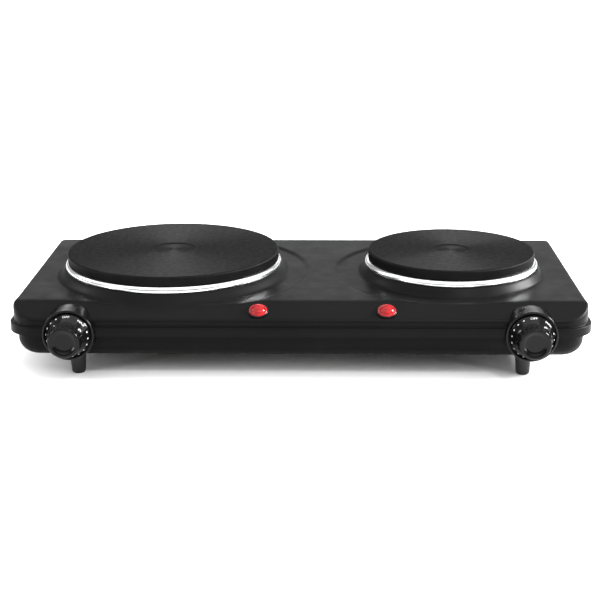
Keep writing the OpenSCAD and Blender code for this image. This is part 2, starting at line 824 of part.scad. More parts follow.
// Ends of the wires: thermostat back, plate terminals and mains terminals
thermo_back_y = thermo_y + gap + thermo_d;
function plate_end(b, e) = let (t = turns(b))
    [b[1] - 7.2, plate_y + (t[0] + t[2])/2 + e*(t[2] - t[0])/2, terminal_top - 4.5];
function mains_end(i) = [block_x + i*10, block_y - block_d/2 - 0.2, floor_z + block_h - 6];

// Places a wire passes over the pan's floor, between the knob line and the mains block
lane_z = floor_z + 6;
lane_y = plate_y - 20;
// Gap between a wire's end and the piece it runs to
wire_start = 0.6;

module live_wires() {
    m = mains_end(-1);
    color("#7a3b1e") for (s = [-1, 1]) {
        a = [s*knob_x + 6, thermo_back_y + wire_start, knob_z - 4];
        e = m + [s*(wire_r + wire_start), 0, 0];
        wire([a, a + [0, 8, 0], [a[0] - 4*s, a[1] + 22, lane_z + 4], [a[0] - 60*s, lane_y, lane_z],
            e + [12*s, -28, -5], e + [0, -9, -1], e], wire_r);
    }
}

module neutral_wires() {
    large = plate_end(LARGE, 1);
    small = plate_end(SMALL, 1);
    color("#3d5a80") {
        wire([large, large + [-8, 0, -1], large + [-10, 4, -12], [large[0] + 24, large[1] + 4, lane_z + 12],
            [block_x - 30, block_y - 23, lane_z + 10], mains_end(0) + [0, -11, 3], mains_end(0)], wire_r);
        wire([small, small + [-8, 0, -1], small + [-14, -5, -12], mains_end(1) + [4, -15, 6],
            mains_end(1) + [0, -8, 1], mains_end(1)], wire_r);
    }
}

module switched_wires() {
    color("#202022") for (b = BURNERS) {
        s = b[1] > 0 ? 1 : -1;
        a = [s*knob_x - 6, thermo_back_y + wire_start, knob_z + 5];
        e = plate_end(b, -1);
        wire([a, a + [0, 8, 0], a + [-16*s, 16, 1], e + [10*s, -9, -11], e + [-14, -6, -9],
            e + [-9, 0, -1], e], wire_r);
    }
}

top_housing();
base_pan();
base_posts();
base_screws();
cast_plate(LARGE);  // large_plate
trim_ring(LARGE);  // large_trim_ring
heating_coil(LARGE);  // large_heating_coil
insulation(LARGE);  // large_insulation
bottom_cover(LARGE);  // large_bottom_cover
centre_stud(LARGE);  // large_centre_stud
strap(LARGE);  // large_strap
terminal_block(LARGE);  // large_terminal_block
cast_plate(SMALL);  // small_plate
trim_ring(SMALL);  // small_trim_ring
heating_coil(SMALL);  // small_heating_coil
insulation(SMALL);  // small_insulation
bottom_cover(SMALL);  // small_bottom_cover
centre_stud(SMALL);  // small_centre_stud
strap(SMALL);  // small_strap
terminal_block(SMALL);  // small_terminal_block
strap_nuts();
knob(-1);  // left_knob
knob_clip(-1);  // left_knob_clip
spindle(-1);  // left_spindle
knob_bezel(-1);  // left_knob_bezel
thermostat(-1);  // left_thermostat
spindle_bush(-1);  // left_spindle_bush
bush_nut(-1);  // left_bush_nut
adjusting_pin(-1);  // left_adjusting_pin
contact_blade(-1);  // left_contact_blade
bracket(-1);  // left_bracket
knob(1);  // right_knob
knob_clip(1);  // right_knob_clip
spindle(1);  // right_spindle
knob_bezel(1);  // right_knob_bezel
thermostat(1);  // right_thermostat
spindle_bush(1);  // right_spindle_bush
bush_nut(1);  // right_bush_nut
adjusting_pin(1);  // right_adjusting_pin
contact_blade(1);  // right_contact_blade
bracket(1);  // right_bracket
bracket_screws();
lamp_bezel(-1);  // left_lamp_bezel
lens(-1);  // left_lens
neon_lamp(-1);  // left_neon_lamp
lamp_bezel(1);  // right_lamp_bezel
lens(1);  // right_lens
neon_lamp(1);  // right_neon_lamp
foot(FEET[0]);  // front_left_foot
foot(FEET[1]);  // front_right_foot
foot(FEET[2]);  // rear_left_foot
foot(FEET[3]);  // rear_right_foot
foot_screws();
cord_gland();
mains_terminal_block();
earth_screw();
live_wires();
neutral_wires();
switched_wires();
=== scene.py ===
"""Looks of the double hot plate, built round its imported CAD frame."""

import json
import math

import bmesh
import bpy
from mathutils import Matrix, Vector, geometry


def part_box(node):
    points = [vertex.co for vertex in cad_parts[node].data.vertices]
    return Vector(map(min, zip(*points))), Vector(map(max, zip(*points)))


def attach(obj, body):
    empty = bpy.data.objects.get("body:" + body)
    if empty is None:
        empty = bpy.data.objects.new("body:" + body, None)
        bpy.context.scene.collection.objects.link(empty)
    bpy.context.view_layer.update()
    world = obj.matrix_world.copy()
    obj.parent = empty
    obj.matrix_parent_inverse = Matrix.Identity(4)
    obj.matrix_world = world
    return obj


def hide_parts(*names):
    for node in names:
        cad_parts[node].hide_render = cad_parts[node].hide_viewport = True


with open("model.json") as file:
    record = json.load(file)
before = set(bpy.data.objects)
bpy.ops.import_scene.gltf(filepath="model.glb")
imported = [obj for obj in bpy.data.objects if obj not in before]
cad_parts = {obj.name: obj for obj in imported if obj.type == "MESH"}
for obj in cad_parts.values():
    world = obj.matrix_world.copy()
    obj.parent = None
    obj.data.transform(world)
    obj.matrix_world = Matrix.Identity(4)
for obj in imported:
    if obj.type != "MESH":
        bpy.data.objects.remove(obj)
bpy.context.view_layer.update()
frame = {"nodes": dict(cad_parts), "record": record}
scene = bpy.context.scene
MM = 0.001
SIDES = ("left", "right")

# ---- Sizes shared with the CAD source, in millimetres ------------------------------------------

FRONT_CORNER = 23.0
BACK_CORNER = 6.0
DECK_EDGE = 3.6
FRONT_EDGE = 2.2
SHEET = 0.8
STRIP_RUN = 22.0
STRIP_DROP = 9.5
FLANGE_W = 3.0
FLANGE_H = 7.5
COLLAR_H = 7.6
DISH_DEEP = 1.5
DISH_WALL = 3.0
LARGE_DISH = 27.0
SMALL_DISH = 30.0
PLATE_RIM = 8.2
LARGE_DIMPLE_R = 20.0
SMALL_DIMPLE_R = 16.5
DIMPLE_DEEP = 0.8
OPENING_IN = 5.0
BEZEL_WALL = 1.8
BEZEL_BACK = 12.0
GRIP_R = 12.8
LAMP_BACK = 12.2
LAMP_STEM_R = 6.0
LENS_SEAT = 0.6
FOOT_RECESS = 3.1
SLOPE = STRIP_DROP / STRIP_RUN
TILT = math.atan(SLOPE)

# ---- Sizes of the visible form only, in millimetres --------------------------------------------

CREASE_SOFT = 1.6
DISH_SOFT = 0.6
DISH_EDGE_SOFT = 2.0
COLLAR_TOP_SOFT = 1.8
COLLAR_FOOT_SOFT = 1.5
COLLAR_GAP = 0.2
LARGE_SPREAD = 7.0
SMALL_SPREAD = 5.4
# A dish stops this far from the casing's sides and back, and its wall widens towards a side.
DISH_CLEAR = 5.0
WALL_GAIN = 17.0
WALL_GAIN_RUN = 70.0
# The front edge's radius passes into the deck's over this run, starting this far back.
EDGE_FROM = 12.0
EDGE_RUN = 30.0
FLANGE_ROOT_R = 0.6
FLANGE_LIP_R = 0.9
HOLE_GAP = 0.2

# ---- Fineness of the meshes --------------------------------------------------------------------

WELD = 1e-6
RING_POINTS = {"large": 300, "small": 240}
PLATE_SEGMENTS = {"large": 320, "small": 256}
# Radii of the mesh rings, from the collar's and from the dish's own radius.
COLLAR_STEPS = (-2.5, -1.2, -0.5, -0.15, 0.15, 0.5, 1.1, 2.0, 2.9)
COLLAR_STEPS += (3.8, 4.5, 5.0, 5.5, 6.1, 6.8, 7.5, 8.3, 10.0)
DISH_STEPS = (-5, -4, -3.4, -2.9, -2.3, -1.5, -0.7, -0.1, 0.5, 1.4, 3.0)
OPENING_STEP = 2.4
# Places of the mesh rows, behind the crease and in front of the back.
CREASE_ROWS = (-14.4, -10.5, -7, -5, -3.6, -2.4, -1.2, 0, 1.2, 2.4, 4, 7)
BACK_ROWS = (6.5, 5.4, 4.6)
FIRST_ROW = 11
LAST_ROW = 6
ROW_PITCH = 5
COLUMN_PITCH = 4
RING_TO_EDGE = 0.6
ROW_TO_EDGE = 0.8
ROW_TO_DISH = 4.2
EDGE_LOOPS = 7


def box_mm(node):
    """Lowest and highest corner of a CAD node, in millimetres."""
    return [[c / MM for c in corner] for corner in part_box(node)]


def middle(node):
    """Middle of a CAD node's box, in millimetres."""
    low, high = box_mm(node)
    return [(a + b) / 2 for a, b in zip(low, high)]


def half_width(node):
    """Radius of a round CAD node, from its box along X."""
    low, high = box_mm(node)
    return (high[0] - low[0]) / 2


shell_low, shell_high = box_mm("top_housing")
HALF_W = shell_high[0] - FLANGE_W
FRONT_Y = shell_low[1] + FLANGE_W
BACK_Y = shell_high[1] - FLANGE_W
FLANGE_LOW = shell_low[2]
FLANGE_TOP = FLANGE_LOW + FLANGE_H
COLLAR_TOP = shell_high[2]
DISH_Z = COLLAR_TOP - COLLAR_H
DECK_Z = DISH_Z + DISH_DEEP
CREASE_Y = FRONT_Y + STRIP_RUN


class Burner:
    """Places and radii of one plate with its trim ring, collar and dish."""

    def __init__(self, side, dish_w, dimple_r, spread):
        plate_low, plate_high = box_mm(side + "_plate")
        ring_low, ring_high = box_mm(side + "_trim_ring")
        self.side = side
        self.x, self.y, _ = middle(side + "_plate")
        self.r = half_width(side + "_plate")
        self.low = plate_low[2]
        self.top = plate_high[2]
        self.opening_r = self.r - OPENING_IN
        self.ring_r = half_width(side + "_trim_ring")
        self.ring_low = ring_low[2]
        self.ring_high = ring_high[2]
        self.collar_r = self.ring_r + COLLAR_GAP
        self.dish_r = self.r + dish_w
        self.dimple_r = dimple_r
        self.spread = spread

    def away(self, x, y):
        """Distance of a point from the plate's axis."""
        return math.hypot(x - self.x, y - self.y)


BURNERS = [
    Burner("large", LARGE_DISH, LARGE_DIMPLE_R, LARGE_SPREAD),
    Burner("small", SMALL_DISH, SMALL_DIMPLE_R, SMALL_SPREAD),
]

# ---- Materials ---------------------------------------------------------------------------------


def linear(value):
    """Linear value of an sRGB value from 0 to 1."""
    return value / 12.92 if value <= 0.04045 else ((value + 0.055) / 1.055) ** 2.4


def grey(level, tint=0.0):
    """Linear grey from a level of 0 to 255, a little bluer by tint."""
    value = linear(level / 255)
    return (value, value, value * (1 + tint))


class Look:
    """A procedural material, built node by node."""

    def __init__(self, name):
        self.name = name
        self.material = bpy.data.materials.new(name)
        self.material.use_nodes = True
        self.tree = self.material.node_tree
        self.shader = next(n for n in self.tree.nodes if n.type == "BSDF_PRINCIPLED")
        self.coords = self.node("ShaderNodeTexCoord")

    def node(self, kind, **inputs):
        """New node, with some of its inputs set: an underscore stands for a space."""
        made = self.tree.nodes.new(kind)
        for key, value in inputs.items():
            made.inputs[key.replace("_", " ")].default_value = value
        return made

    def link(self, source, target):
        self.tree.links.new(source, target)

    def set(self, **values):
        for key, value in values.items():
            self.shader.inputs[key.replace("_", " ")].default_value = value
        return self

    def place(self, stretch=(1, 1, 1)):
        mapping = self.node("ShaderNodeMapping", Scale=stretch)
        self.link(self.coords.outputs["Object"], mapping.inputs["Vector"])
        return mapping.outputs["Vector"]

    def noise(self, scale, detail=4.0, rough=0.55, stretch=(1, 1, 1)):
        made = self.node("ShaderNodeTexNoise", Scale=scale, Detail=detail, Roughness=rough)
        self.link(self.place(stretch), made.inputs["Vector"])
        return made.outputs["Fac"]

    def rings(self, pitch_mm, wobble):
        """Turning marks round the object's own Z, a pitch apart."""
        waves = 2 * math.pi / (20 * pitch_mm * MM)
        made = self.node("ShaderNodeTexWave", Scale=waves, Distortion=wobble, Detail=2.0, Detail_Scale=1.5)
        made.wave_type = "RINGS"
        made.rings_direction = "Z"
        self.link(self.place(), made.inputs["Vector"])
        return made.outputs["Fac"]

    def blend(self, factor, low, high):
        """Colour or number that runs from low to high over the middle of a 0 to 1 pattern."""
        ramp = self.node("ShaderNodeValToRGB")
        for end, position, value in zip(ramp.color_ramp.elements, (0.3, 0.7), (low, high)):
            end.position = position
            end.color = (*value, 1) if isinstance(value, tuple) else (value, value, value, 1)
        self.link(factor, ramp.inputs["Fac"])
        return ramp.outputs["Color"]

    def colour(self, factor, low, high):
        self.link(self.blend(factor, low, high), self.shader.inputs["Base Color"])
        return self

    def rough(self, factor, low, high):
        self.link(self.blend(factor, low, high), self.shader.inputs["Roughness"])
        return self

    def bump(self, *layers):
        """Layers of (pattern, height in mm), stacked in one chain."""
        last = None
        for factor, height in layers:
            made = self.node("ShaderNodeBump", Distance=height * MM, Strength=1.0)
            self.link(factor, made.inputs["Height"])
            if last is not None:
                self.link(last, made.inputs["Normal"])
            last = made.outputs["Normal"]
        self.link(last, self.shader.inputs["Normal"])
        return self


def coated_steel(name, dark, light, rough_a, rough_b):
    """Black enamelled sheet with a fine orange peel."""
    peel = 0.012
    look = Look(name).set(Specular_IOR_Level=0.05)
    look.colour(look.noise(14, 3), grey(dark, 0.04), grey(light, 0.04))
    look.rough(look.noise(60, 5), rough_a, rough_b)
    look.bump((look.noise(420, 3), peel), (look.noise(1900, 2), peel * 0.3))
    return look


def metal(name, dark, light, rough_a, rough_b, stretch=(1, 1, 1)):
    look = Look(name).set(Metallic=1.0)
    look.colour(look.noise(35, 4), dark, light)
    look.rough(look.noise(160, 6, 0.6, stretch), rough_a, rough_b)
    look.bump((look.noise(700, 5, 0.6, stretch), 0.004))
    return look


def plastic(name, dark, light, rough_a, rough_b, grain, grain_scale=900, shine=0.5):
    look = Look(name).set(Specular_IOR_Level=shine)
    look.colour(look.noise(45, 3), dark, light)
    look.rough(look.noise(130, 4), rough_a, rough_b)
    look.bump((look.noise(grain_scale, 3), grain))
    return look


def braid(name, dark, light):
    """Woven sleeve of a wire, with its thread in the bump."""
    look = Look(name)
    look.colour(look.noise(900, 2, 0.5, (1, 1, 2.5)), dark, light)
    look.rough(look.noise(500, 3), 0.6, 0.8)
    look.bump((look.noise(1400, 2, 0.5, (1, 2.5, 1)), 0.08))
    return look


def cast_iron():
    """Matt black iron with a finely turned face: rings round each plate's own axis."""
    look = Look("cast_iron").set(Anisotropic=0.75, Specular_IOR_Level=0.04)
    tangent = look.node("ShaderNodeTangent")
    tangent.direction_type = "RADIAL"
    tangent.axis = "Z"
    look.link(tangent.outputs["Tangent"], look.shader.inputs["Tangent"])
    look.colour(look.noise(70, 5), grey(9), grey(14))
    look.rough(look.noise(240, 5), 0.42, 0.54)
    look.bump((look.rings(0.9, 0.6), 0.006), (look.rings(2.7, 1.2), 0.006), (look.noise(1300, 4), 0.012))
    return look


def chrome():
    look = Look("trim_chrome").set(Metallic=1.0)
    look.colour(look.noise(20, 3), (0.70, 0.705, 0.715), (0.78, 0.785, 0.79))
    look.rough(look.noise(300, 5, 0.6, (1, 1, 9)), 0.16, 0.26)
    look.bump((look.noise(900, 3, 0.5, (1, 1, 10)), 0.0015))
    return look


def red_lens():
    look = Look("red_lens").set(Coat_Weight=0.15, Coat_Roughness=0.05, Specular_IOR_Level=0.2)
    look.colour(look.noise(120, 3), (0.14, 0.001, 0.002), (0.27, 0.002, 0.004))
    look.rough(look.noise(250, 3), 0.08, 0.2)
    look.bump((look.noise(320, 2), 0.02))
    return look


def lamp_glass():
    look = Look("lamp_glass").set(Transmission_Weight=0.7, IOR=1.5)
    look.colour(look.noise(200, 3), (0.85, 0.45, 0.3), (0.95, 0.6, 0.42))
    look.rough(look.noise(300, 2), 0.04, 0.12)
    look.bump((look.noise(500, 2), 0.01))
    return look


def dial_ink():
    look = Look("dial_ink")
    look.colour(look.noise(600, 4), grey(165), grey(190))
    look.rough(look.noise(400, 3), 0.45, 0.6)
    look.bump((look.noise(2500, 2), 0.006))
    return look


ALL_LOOKS = [
    coated_steel("black_coated_steel", 8, 12, 0.34, 0.42),
    coated_steel("pan_coated_steel", 7, 11, 0.42, 0.5),
    metal("zinc_steel", (0.55, 0.55, 0.57), (0.68, 0.69, 0.71), 0.28, 0.45),
    metal("plated_sheet", (0.55, 0.55, 0.56), (0.66, 0.66, 0.67), 0.3, 0.5, (1, 12, 1)),
    metal("spring_steel", (0.5, 0.5, 0.52), (0.64, 0.64, 0.66), 0.2, 0.35, (1, 8, 1)),
    metal("coil_alloy", (0.35, 0.27, 0.2), (0.5, 0.42, 0.33), 0.45, 0.65),
    plastic("mineral_fill", (0.6, 0.57, 0.5), (0.74, 0.71, 0.64), 0.85, 0.98, 0.25, 260),
    plastic("ivory_ceramic", (0.74, 0.71, 0.64), (0.84, 0.81, 0.75), 0.45, 0.65, 0.02, 600),
    metal("brass_parts", (0.66, 0.49, 0.2), (0.78, 0.62, 0.32), 0.2, 0.38),
    metal("copper_blade", (0.6, 0.32, 0.18), (0.76, 0.46, 0.28), 0.25, 0.42, (6, 1, 1)),
    plastic("knob_plastic", grey(5), grey(8), 0.09, 0.15, 0.003, shine=0.12),
    plastic("bezel_plastic", grey(6), grey(9), 0.14, 0.24, 0.004, shine=0.12),
    plastic("foot_plastic", grey(14), grey(20), 0.4, 0.55, 0.02, 500, shine=0.25),
    plastic("black_nylon", grey(28), grey(38), 0.4, 0.55, 0.015, 700),
    braid("brown_insulation", (0.12, 0.045, 0.02), (0.25, 0.1, 0.05)),
    braid("blue_insulation", (0.03, 0.08, 0.25), (0.07, 0.16, 0.42)),
    braid("black_insulation", grey(30), grey(48)),
    cast_iron(),
    chrome(),
    red_lens(),
    lamp_glass(),
]
LOOKS = {look.name: look.material for look in ALL_LOOKS}
INK = dial_ink().material

SLOT_OF = {part["node"]: part["material_slot"] for part in frame["record"]["subparts"]}
for node, obj in frame["nodes"].items():
    material = LOOKS[SLOT_OF[node]]
    if not obj.material_slots:
        obj.data.materials.append(material)
    for slot in obj.material_slots:
        slot.material = material

# ---- Mesh helpers ------------------------------------------------------------------------------


def smooth_faces(mesh, angle):
    """Smooth shading, with edges sharper than an angle in degrees kept."""
    for polygon in mesh.polygons:
        polygon.use_smooth = True
    mesh.set_sharp_from_angle(angle=math.radians(angle))


def mesh_of(name, shape):
    """Welded mesh of (points, faces) in millimetres, with its faces turned outwards."""
    points, faces = shape
    mesh = bpy.data.meshes.new(name)
    mesh.from_pydata([[c * MM for c in p] for p in points], [], faces)
    work = bmesh.new()
    work.from_mesh(mesh)
    bmesh.ops.remove_doubles(work, verts=work.verts, dist=WELD)
    bmesh.ops.recalc_face_normals(work, faces=work.faces)
    work.to_mesh(mesh)
    work.free()
    return mesh


def piece(name, shape, material, body="casing", place=None, replaces=(), angle=34):
    """A mesh piece from (points, faces) in millimetres, riding on a body."""
    mesh = mesh_of(name, shape)
    mesh.materials.append(material)
    smooth_faces(mesh, angle)
    obj = bpy.data.objects.new(name, mesh)
    scene.collection.objects.link(obj)
    if place is not None:
        obj.matrix_world = place
    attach(obj, body)
    if replaces:
        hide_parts(*replaces)
    return obj


def at(x, y, z, turn=0.0):
    """Place of a piece whose own Z is tilted forwards by turn, about X."""
    return Matrix.Translation(Vector((x, y, z)) * MM) @ Matrix.Rotation(turn, 4, "X")


def turned(profile, segments, closed=False, radius=None):
    """Points and faces of a profile of (radius, height) turned round Z."""
    points = []
    rows = []
    for r, h in profile:
        if r < WELD:
            rows.append([len(points)] * segments)
            points.append((0.0, 0.0, h))
            continue
        rows.append(list(range(len(points), len(points) + segments)))
        for k in range(segments):
            a = 2 * math.pi * k / segments
            here = radius(r, h, a) if radius else r
            points.append((here * math.sin(a), here * math.cos(a), h))
    faces = []
    pairs = list(zip(rows, rows[1:]))
    if closed:
        pairs.append((rows[-1], rows[0]))
    for low, high in pairs:
        for k in range(segments):
            after = (k + 1) % segments
            corners = [low[k], low[after], high[after], high[k]]
            face = [v for i, v in enumerate(corners) if v not in corners[:i]]
            if len(face) > 2:
                faces.append(face)
    return points, faces


def arc_at(cx, cy, r, angles):
    """Points of an arc at a list of angles, in degrees."""
    return [(cx + r * math.cos(math.radians(a)), cy + r * math.sin(math.radians(a))) for a in angles]


def arc(cx, cy, r, first, last, steps):
    """Points of an arc from a first to a last angle, in even steps."""
    return arc_at(cx, cy, r, [first + (last - first) * i / steps for i in range(steps + 1)])


def straight(start, end, steps):
    """Points after start, up to and with end, in even steps."""
    (x0, y0), (x1, y1) = start, end
    return [(x0 + (x1 - x0) * i / steps, y0 + (y1 - y0) * i / steps) for i in range(1, steps + 1)]


def ease(t):
    """Share from 0 to 1 that starts and ends softly."""
    t = min(max(t, 0), 1)
    return t * t * (3 - 2 * t)


def soft_min(a, b, width):
    """Smaller of two values, rounded over where they meet."""
    near = max(width - abs(a - b), 0) / width
    return min(a, b) - near * near * width / 4


def soft_max(a, b, width):
    return -soft_min(-a, -b, width)


# ---- Top housing -------------------------------------------------------------------------------


def inset(x, y):
    """Distance from the casing's outline, inwards."""
    middle_y = (FRONT_Y + BACK_Y) / 2
    r = FRONT_CORNER if y < middle_y else BACK_CORNER
    past_x = abs(x) - (HALF_W - r)
    past_y = FRONT_Y + r - y if y < middle_y else y - (BACK_Y - r)
    return r - math.hypot(max(past_x, 0), max(past_y, 0)) - min(max(past_x, past_y), 0)


def deck(x, y):
    """Height of the pressed deck: flat, sloping strip, dishes and collars, all with soft bends."""
    z = soft_min(DECK_Z, DECK_Z + (y - CREASE_Y) * SLOPE, CREASE_SOFT)
    for b in BURNERS:
        r = b.away(x, y)
        edge = soft_max(r - b.dish_r, abs(x) - (HALF_W - DISH_CLEAR), DISH_EDGE_SOFT)
        edge = soft_max(edge, y - (BACK_Y - DISH_CLEAR), DISH_EDGE_SOFT)
        width = DISH_WALL + WALL_GAIN * ease((abs(x) - abs(b.x)) / WALL_GAIN_RUN)
        wall = soft_max(DISH_Z, DISH_Z + (edge + width) * DISH_DEEP / width, DISH_SOFT)
        z = soft_min(z, wall, DISH_SOFT)
        cone = COLLAR_TOP - (r - b.collar_r) * COLLAR_H / b.spread
        z = soft_max(z, soft_min(COLLAR_TOP, cone, COLLAR_TOP_SOFT), COLLAR_FOOT_SOFT)
    d = max(inset(x, y), 0)
    bend = FRONT_EDGE + (DECK_EDGE - FRONT_EDGE) * ease((y - FRONT_Y - EDGE_FROM) / EDGE_RUN)
    if d < bend:
        z -= bend - math.sqrt(bend**2 - (bend - d) ** 2)
    return z


def outline():
    """Points of the casing's outline with their outward directions."""
    found = []

    def corner(cx, cy, r, first, last, steps):
        for i in range(steps + 1):
            a = math.radians(first + (last - first) * i / steps)
            found.append((cx + r * math.cos(a), cy + r * math.sin(a), math.cos(a), math.sin(a)))

    def side(x0, y0, x1, y1, out_x, out_y, step):
        n = round(math.hypot(x1 - x0, y1 - y0) / step)
        for i in range(1, n):
            found.append((x0 + (x1 - x0) * i / n, y0 + (y1 - y0) * i / n, out_x, out_y))

    front_r = FRONT_CORNER
    back_r = BACK_CORNER
    corner(-HALF_W + front_r, FRONT_Y + front_r, front_r, 180, 270, 28)
    side(-HALF_W + front_r, FRONT_Y, HALF_W - front_r, FRONT_Y, 0, -1, 4)
    corner(HALF_W - front_r, FRONT_Y + front_r, front_r, 270, 360, 28)
    side(HALF_W, FRONT_Y + front_r, HALF_W, BACK_Y - back_r, 1, 0, 3)
    corner(HALF_W - back_r, BACK_Y - back_r, back_r, 0, 90, 14)
    side(HALF_W - back_r, BACK_Y, -HALF_W + back_r, BACK_Y, 0, 1, 4)
    corner(-HALF_W + back_r, BACK_Y - back_r, back_r, 90, 180, 14)
    side(-HALF_W, BACK_Y - back_r, -HALF_W, FRONT_Y + front_r, -1, 0, 3)
    return found


RIM = outline()


def rim_loop(d):
    """The outline moved inwards by d."""
    return [(x - out_x * d, y - out_y * d) for x, y, out_x, out_y in RIM]


def closed_edges(start, count):
    return [(start + k, start + (k + 1) % count) for k in range(count)]


def burner_points(b):
    """Mesh points in rings round a burner, the opening's own ring first."""
    radii = [b.opening_r, b.opening_r + OPENING_STEP]
    radii += [b.collar_r + step for step in COLLAR_STEPS]
    radii += [(b.collar_r + COLLAR_STEPS[-1] + b.dish_r + DISH_STEPS[0]) / 2]
    radii += [b.dish_r + step for step in DISH_STEPS]
    count = RING_POINTS[b.side]
    found = []
    for i, r in enumerate(radii):
        for k in range(count):
            a = 2 * math.pi * (k + 0.5 * (i % 2)) / count
            x = b.x + r * math.sin(a)
            y = b.y + r * math.cos(a)
            if inset(x, y) > DECK_EDGE + RING_TO_EDGE:
                found.append((x, y))
    return found


def row_points():
    """Mesh points in rows along X, close together at the crease and the strip."""
    rows = [CREASE_Y + d for d in CREASE_ROWS]
    y = CREASE_Y + FIRST_ROW
    while y < BACK_Y - LAST_ROW:
        rows.append(y)
        y += ROW_PITCH
    rows += [BACK_Y - d for d in BACK_ROWS]
    columns = round(2 * HALF_W / COLUMN_PITCH)
    found = []
    for y in rows:
        for k in range(columns + 1):
            x = -HALF_W + 2 * HALF_W * k / columns
            off_dishes = all(b.away(x, y) > b.dish_r + ROW_TO_DISH for b in BURNERS)
            if inset(x, y) > DECK_EDGE + ROW_TO_EDGE and off_dishes:
                found.append((x, y))
    return found


def deck_surface():
    """Points and faces of the deck inside its rounded edge, with the burners' openings left out."""
    flat = rim_loop(DECK_EDGE)
    fixed = closed_edges(0, len(flat))
    for b in BURNERS:
        fixed += closed_edges(len(flat), RING_POINTS[b.side])
        flat += burner_points(b)
    flat += row_points()
    points, _, faces, _, _, _ = geometry.delaunay_2d_cdt([Vector(p) for p in flat], fixed, [], 0, 1e-5)
    keep = []
    for face in faces:
        x = sum(points[i][0] for i in face) / len(face)
        y = sum(points[i][1] for i in face) / len(face)
        hole = any(b.away(x, y) < b.opening_r - 1e-3 for b in BURNERS)
        if not hole and inset(x, y) > DECK_EDGE - 1e-4:
            keep.append(list(face))
    return [(p[0], p[1], deck(p[0], p[1])) for p in points], keep


def edge_loops():
    """Rounded edge, wall, fillet and flange as loops that follow the outline."""
    loops = []
    for k in range(EDGE_LOOPS + 1):
        d = DECK_EDGE * (1 - math.sin(math.radians(90 * k / EDGE_LOOPS)))
        loops.append([(x, y, deck(x, y)) for x, y in rim_loop(d)])
    root = FLANGE_TOP + FLANGE_ROOT_R
    loops.append([(x, y, (top + root) / 2) for x, y, top in loops[-1]])
    path = arc(-FLANGE_ROOT_R, root, FLANGE_ROOT_R, 0, -90, 5)
    path += arc_at(FLANGE_LIP_R - FLANGE_W, FLANGE_TOP - FLANGE_LIP_R, FLANGE_LIP_R, (90, 112, 135, 158, 180))
    path += [(-FLANGE_W, FLANGE_LOW + 3), (-FLANGE_W, FLANGE_LOW)]
    for d, z in path:
        loops.append([(x, y, z) for x, y in rim_loop(d)])
    return loops


def housing_surface():
    """Upper surface of the pressing, without its thickness and its round holes."""
    points, faces = deck_surface()
    loops = edge_loops()
    count = len(RIM)
    start = len(points)
    for ring in loops:
        points += ring
    for i in range(len(loops) - 1):
        upper = start + i * count
        lower = upper + count
        for k in range(count):
            after = (k + 1) % count
            faces.append([upper + k, upper + after, lower + after, lower + k])
    return points, faces


def rod(r, low, high, segments):
    return turned([(0, low), (r, low), (r, high), (0, high)], segments)


def lamp_place(side):
    """Place of an indicator, square on the sloping strip."""
    x = middle(side + "_lamp_bezel")[0]
    return at(x, CREASE_Y - LAMP_BACK, DECK_Z - LAMP_BACK * SLOPE, TILT)


def hole_rods():
    """One mesh with a rod through the sheet for each knob bezel and each indicator."""
    work = bmesh.new()
    for side in SIDES:
        bezel_x, _, bezel_z = middle(side + "_knob_bezel")
        bezel_r = half_width(side + "_knob_bezel")
        bezel = mesh_of("cut", rod(bezel_r + HOLE_GAP, -BEZEL_BACK - HOLE_GAP, FLANGE_W + 2, 192))
        bezel.transform(at(bezel_x, FRONT_Y, bezel_z, math.pi / 2))
        work.from_mesh(bezel)
        lamp = mesh_of("cut", rod(LAMP_STEM_R + HOLE_GAP, -6, 6, 96))
        lamp.transform(lamp_place(side))
        work.from_mesh(lamp)
    holes = bpy.data.meshes.new("holes")
    work.to_mesh(holes)
    work.free()
    return holes


def apply_modifiers(obj):
    graph = bpy.context.evaluated_depsgraph_get()
    mesh = bpy.data.meshes.new_from_object(obj.evaluated_get(graph))
    obj.modifiers.clear()
    obj.data = mesh


def build_housing():
    steel = "black_coated_steel"
    shell = piece("housing_shell", housing_surface(), LOOKS[steel])
    sheet = shell.modifiers.new("sheet", "SOLIDIFY")
    sheet.thickness = SHEET * MM
    sheet.offset = -1
    apply_modifiers(shell)
    tool = bpy.data.objects.new("holes", hole_rods())
    scene.collection.objects.link(tool)
    cut = shell.modifiers.new("holes", "BOOLEAN")
    cut.operation = "DIFFERENCE"
    cut.object = tool
    cut.solver = "EXACT"
    bpy.context.view_layer.update()
    apply_modifiers(shell)
    bpy.data.objects.remove(tool)
    smooth_faces(shell.data, 32)
    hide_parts("top_housing")


build_housing()

# ---- Plates and trim rings ---------------------------------------------------------------------

DIMPLE_WALL = 3.6
WEB_Z = -6.0
STUD_BOSS_R = 12.0
STUD_R = 3.2


